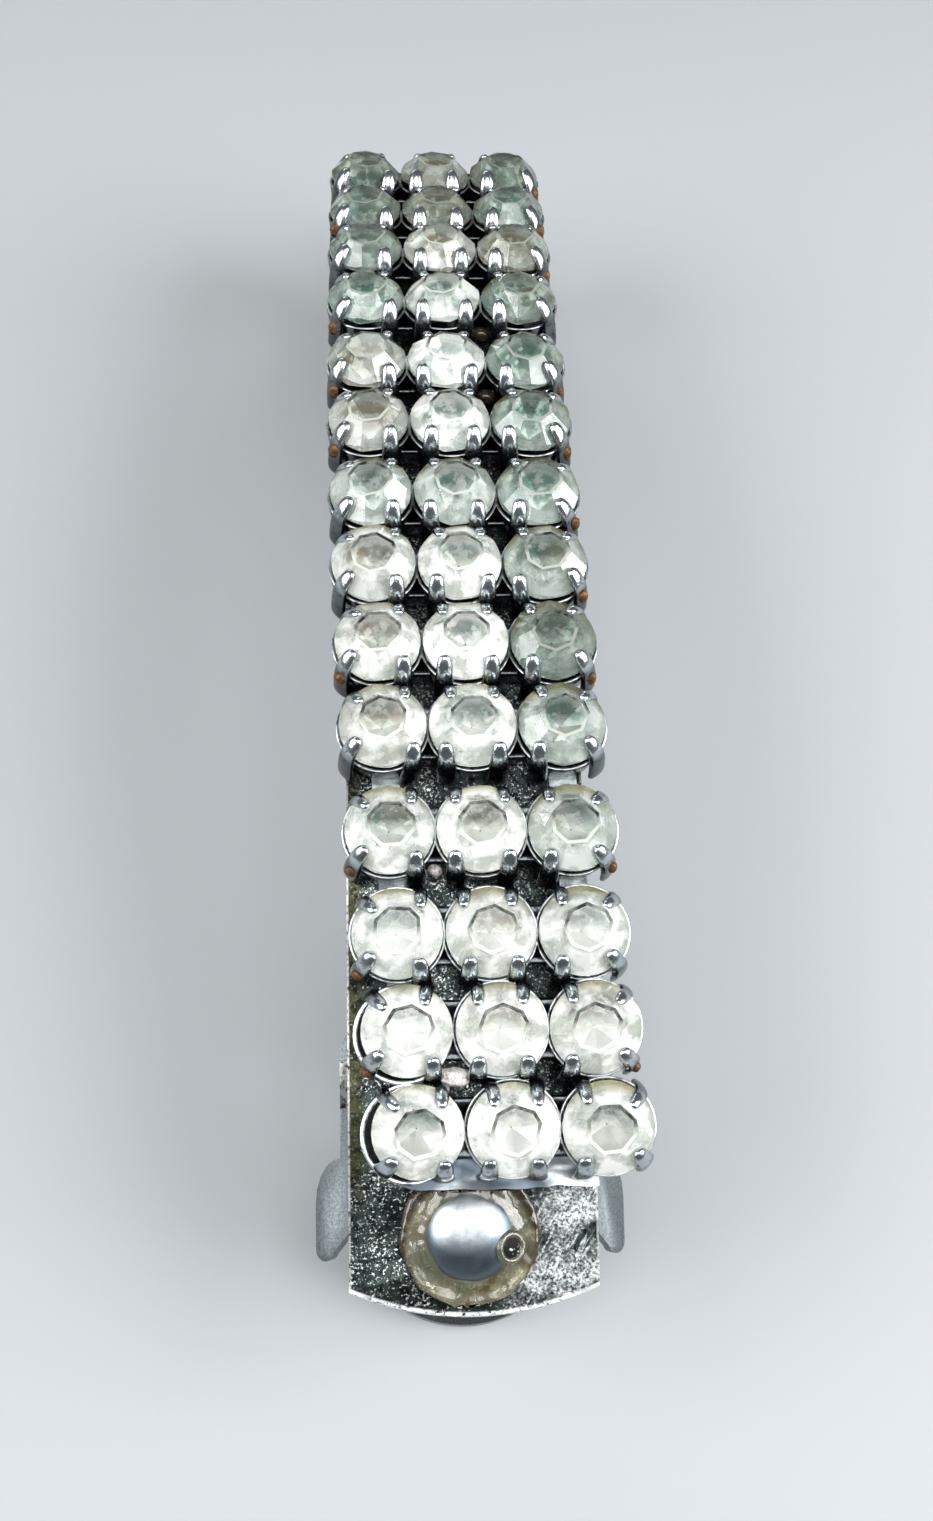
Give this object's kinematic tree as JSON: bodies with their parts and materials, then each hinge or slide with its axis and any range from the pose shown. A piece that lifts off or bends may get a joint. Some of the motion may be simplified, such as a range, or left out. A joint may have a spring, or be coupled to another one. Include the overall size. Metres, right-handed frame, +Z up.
{
  "type": "rhinestone hair barrette",
  "caption": "Arched hinged barrette with rows of claw-set round stones, squeeze-wing catch, tension bar and clasp arm.",
  "frame": {"origin": "middle of the closed clip's underside, on the surface it lies on", "axes": "+Y along the clip from the catch to the hinge, +Z up through the stones, +X to the right seen from the catch"},
  "size_m": [0.0152, 0.0696, 0.0205],
  "materials": {
    "plate_chrome": "worn, pitted bright plating",
    "arm_chrome": "bright plating",
    "setting_rhodium": "bright plating",
    "satin_rivet": "satin",
    "spring_steel": "smooth",
    "pin_steel": "smooth",
    "old_adhesive": "aged amber, glossy",
    "foiled_crystal": "foiled cut glass, slightly yellowed"
  },
  "bodies": {
    "plate": {"back_plate": "plate_chrome", "catch_rivet": "satin_rivet", "glue_ring": "old_adhesive", "catch_base": "spring_steel", "hinge_pin": "pin_steel", "strap_left": "setting_rhodium", "strap_right": "setting_rhodium", "setting_row_01": "setting_rhodium", "setting_row_02": "setting_rhodium", "setting_row_03": "setting_rhodium", "setting_row_04": "setting_rhodium", "setting_row_05": "setting_rhodium", "setting_row_06": "setting_rhodium", "setting_row_07": "setting_rhodium", "setting_row_08": "setting_rhodium", "setting_row_09": "setting_rhodium", "setting_row_10": "setting_rhodium", "setting_row_11": "setting_rhodium", "setting_row_12": "setting_rhodium", "setting_row_13": "setting_rhodium", "setting_row_14": "setting_rhodium", "stones_row_01": "foiled_crystal", "stones_row_02": "foiled_crystal", "stones_row_03": "foiled_crystal", "stones_row_04": "foiled_crystal", "stones_row_05": "foiled_crystal", "stones_row_06": "foiled_crystal", "stones_row_07": "foiled_crystal", "stones_row_08": "foiled_crystal", "stones_row_09": "foiled_crystal", "stones_row_10": "foiled_crystal", "stones_row_11": "foiled_crystal", "stones_row_12": "foiled_crystal", "stones_row_13": "foiled_crystal", "stones_row_14": "foiled_crystal"},
    "clasp_arm": {"clasp_arm": "arm_chrome"},
    "wing_left": {"release_wing_left": "spring_steel"},
    "wing_right": {"release_wing_right": "spring_steel"},
    "tension_bar": {"tension_bar": "spring_steel"}
  },
  "joints": [
    {"name": "arm_hinge", "type": "hinge", "parent": "plate", "child": "clasp_arm", "pos_m": [-0.00038, 0.02952, 0.00213], "axis": [1, 0, 0], "range_deg": [0, 75]},
    {"name": "bar_pivot", "type": "hinge", "parent": "plate", "child": "tension_bar", "pos_m": [-0.00038, 0.03214, 0.00889], "axis": [1, 0, 0], "range_deg": [0, 4]},
    {"name": "squeeze_right", "type": "hinge", "parent": "plate", "child": "wing_right", "pos_m": [0.00459, -0.02843, 0.0112], "axis": [0, 0.9453, 0.3261], "range_deg": [0, 5], "stiffness_Nm_per_rad": 0.05},
    {"name": "squeeze_left", "type": "hinge", "parent": "plate", "child": "wing_left", "pos_m": [-0.00536, -0.02843, 0.0112], "axis": [0, 0.9453, 0.3261], "range_deg": [-5, 0], "stiffness_Nm_per_rad": 0.05}
  ],
  "couplings": [
    {"joint": "squeeze_left", "follows": "squeeze_right", "ratio": -1}
  ]
}
